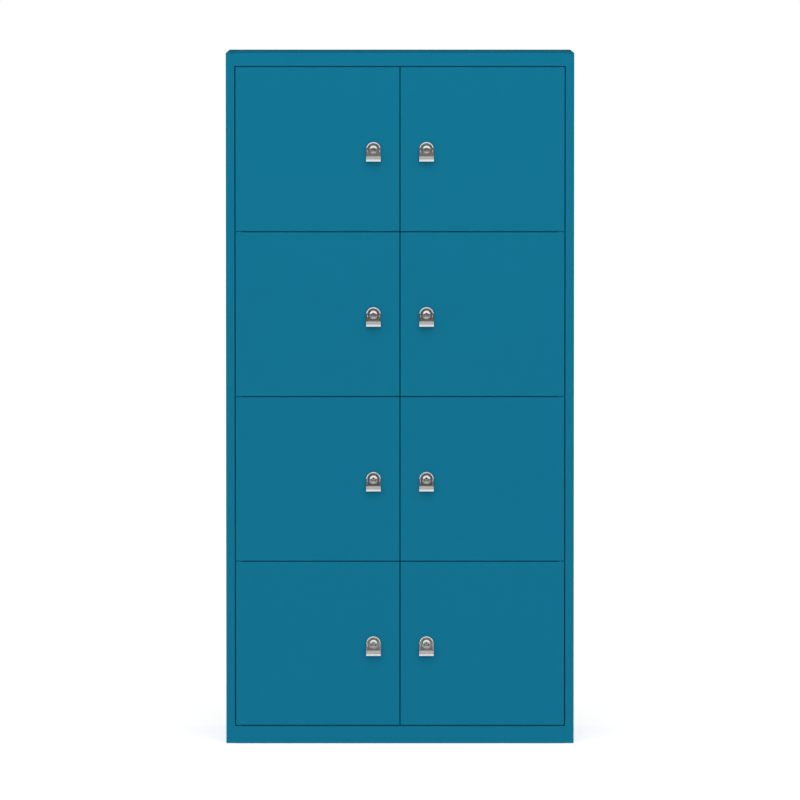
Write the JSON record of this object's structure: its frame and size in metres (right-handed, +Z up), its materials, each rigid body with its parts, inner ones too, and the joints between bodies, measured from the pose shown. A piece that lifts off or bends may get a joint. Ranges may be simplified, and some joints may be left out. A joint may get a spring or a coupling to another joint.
{
  "type": "locker cabinet",
  "caption": "Free-standing steel locker cabinet with two columns of flush hinged doors, each with a key cam lock and finger pull, shelves, a centre partition and levelling feet.",
  "frame": {"origin": "on the floor, in the middle of the bounding box", "axes": "+X to the right as one faces the doors, the doors face -Y, +Z up"},
  "size_m": [0.8, 0.482, 1.59],
  "materials": {
    "blue_powder_coat": "smooth satin powder coat, petrol blue",
    "bright_nickel": "bright nickel-plated zinc casting",
    "zinc_plate": "zinc-plated steel",
    "black_nylon": "black moulded nylon"
  },
  "bodies": {
    "carcass": {"left_side_panel": "blue_powder_coat", "right_side_panel": "blue_powder_coat", "top_panel": "blue_powder_coat", "base_panel": "blue_powder_coat", "back_panel": "blue_powder_coat", "centre_partition": "blue_powder_coat", "centre_stile": "blue_powder_coat", "shelf_left_1": "blue_powder_coat", "shelf_left_2": "blue_powder_coat", "shelf_left_3": "blue_powder_coat", "shelf_right_1": "blue_powder_coat", "shelf_right_2": "blue_powder_coat", "shelf_right_3": "blue_powder_coat", "hinge_pin_left_1": "zinc_plate", "hinge_pin_left_2": "zinc_plate", "hinge_pin_left_3": "zinc_plate", "hinge_pin_left_4": "zinc_plate", "hinge_pin_left_5": "zinc_plate", "hinge_pin_right_1": "zinc_plate", "hinge_pin_right_2": "zinc_plate", "hinge_pin_right_3": "zinc_plate", "hinge_pin_right_4": "zinc_plate", "hinge_pin_right_5": "zinc_plate", "levelling_foot_front_left": "black_nylon", "levelling_foot_front_right": "black_nylon", "levelling_foot_rear_left": "black_nylon", "levelling_foot_rear_right": "black_nylon"},
    "door_left_1": {"door_panel_left_1": "blue_powder_coat", "lock_housing_left_1": "bright_nickel"},
    "lock_left_1": {"lock_plug_left_1": "bright_nickel", "lock_cam_left_1": "zinc_plate"},
    "door_left_2": {"door_panel_left_2": "blue_powder_coat", "lock_housing_left_2": "bright_nickel"},
    "lock_left_2": {"lock_plug_left_2": "bright_nickel", "lock_cam_left_2": "zinc_plate"},
    "door_left_3": {"door_panel_left_3": "blue_powder_coat", "lock_housing_left_3": "bright_nickel"},
    "lock_left_3": {"lock_plug_left_3": "bright_nickel", "lock_cam_left_3": "zinc_plate"},
    "door_left_4": {"door_panel_left_4": "blue_powder_coat", "lock_housing_left_4": "bright_nickel"},
    "lock_left_4": {"lock_plug_left_4": "bright_nickel", "lock_cam_left_4": "zinc_plate"},
    "door_right_1": {"door_panel_right_1": "blue_powder_coat", "lock_housing_right_1": "bright_nickel"},
    "lock_right_1": {"lock_plug_right_1": "bright_nickel", "lock_cam_right_1": "zinc_plate"},
    "door_right_2": {"door_panel_right_2": "blue_powder_coat", "lock_housing_right_2": "bright_nickel"},
    "lock_right_2": {"lock_plug_right_2": "bright_nickel", "lock_cam_right_2": "zinc_plate"},
    "door_right_3": {"door_panel_right_3": "blue_powder_coat", "lock_housing_right_3": "bright_nickel"},
    "lock_right_3": {"lock_plug_right_3": "bright_nickel", "lock_cam_right_3": "zinc_plate"},
    "door_right_4": {"door_panel_right_4": "blue_powder_coat", "lock_housing_right_4": "bright_nickel"},
    "lock_right_4": {"lock_plug_right_4": "bright_nickel", "lock_cam_right_4": "zinc_plate"}
  },
  "joints": [
    {"name": "door_left_1_hinge", "type": "hinge", "parent": "carcass", "child": "door_left_1", "pos_m": [-0.369, -0.2235, 1.36938], "axis": [0, 0, -1], "range_deg": [0, 110]},
    {"name": "lock_left_1_turn", "type": "hinge", "parent": "door_left_1", "child": "lock_left_1", "pos_m": [-0.061, -0.229, 1.36938], "axis": [0, -1, 0], "range_deg": [0, 90]},
    {"name": "door_left_2_hinge", "type": "hinge", "parent": "carcass", "child": "door_left_2", "pos_m": [-0.369, -0.2235, 0.99013], "axis": [0, 0, -1], "range_deg": [0, 110]},
    {"name": "lock_left_2_turn", "type": "hinge", "parent": "door_left_2", "child": "lock_left_2", "pos_m": [-0.061, -0.229, 0.99013], "axis": [0, -1, 0], "range_deg": [0, 90]},
    {"name": "door_left_3_hinge", "type": "hinge", "parent": "carcass", "child": "door_left_3", "pos_m": [-0.369, -0.2235, 0.61087], "axis": [0, 0, -1], "range_deg": [0, 110]},
    {"name": "lock_left_3_turn", "type": "hinge", "parent": "door_left_3", "child": "lock_left_3", "pos_m": [-0.061, -0.229, 0.61087], "axis": [0, -1, 0], "range_deg": [0, 90]},
    {"name": "door_left_4_hinge", "type": "hinge", "parent": "carcass", "child": "door_left_4", "pos_m": [-0.369, -0.2235, 0.23162], "axis": [0, 0, -1], "range_deg": [0, 110]},
    {"name": "lock_left_4_turn", "type": "hinge", "parent": "door_left_4", "child": "lock_left_4", "pos_m": [-0.061, -0.229, 0.23162], "axis": [0, -1, 0], "range_deg": [0, 90]},
    {"name": "door_right_1_hinge", "type": "hinge", "parent": "carcass", "child": "door_right_1", "pos_m": [0.369, -0.2235, 1.36938], "axis": [0, 0, 1], "range_deg": [0, 110]},
    {"name": "lock_right_1_turn", "type": "hinge", "parent": "door_right_1", "child": "lock_right_1", "pos_m": [0.061, -0.229, 1.36938], "axis": [0, 1, 0], "range_deg": [0, 90]},
    {"name": "door_right_2_hinge", "type": "hinge", "parent": "carcass", "child": "door_right_2", "pos_m": [0.369, -0.2235, 0.99013], "axis": [0, 0, 1], "range_deg": [0, 110]},
    {"name": "lock_right_2_turn", "type": "hinge", "parent": "door_right_2", "child": "lock_right_2", "pos_m": [0.061, -0.229, 0.99013], "axis": [0, 1, 0], "range_deg": [0, 90]},
    {"name": "door_right_3_hinge", "type": "hinge", "parent": "carcass", "child": "door_right_3", "pos_m": [0.369, -0.2235, 0.61087], "axis": [0, 0, 1], "range_deg": [0, 110]},
    {"name": "lock_right_3_turn", "type": "hinge", "parent": "door_right_3", "child": "lock_right_3", "pos_m": [0.061, -0.229, 0.61087], "axis": [0, 1, 0], "range_deg": [0, 90]},
    {"name": "door_right_4_hinge", "type": "hinge", "parent": "carcass", "child": "door_right_4", "pos_m": [0.369, -0.2235, 0.23162], "axis": [0, 0, 1], "range_deg": [0, 110]},
    {"name": "lock_right_4_turn", "type": "hinge", "parent": "door_right_4", "child": "lock_right_4", "pos_m": [0.061, -0.229, 0.23162], "axis": [0, 1, 0], "range_deg": [0, 90]}
  ]
}
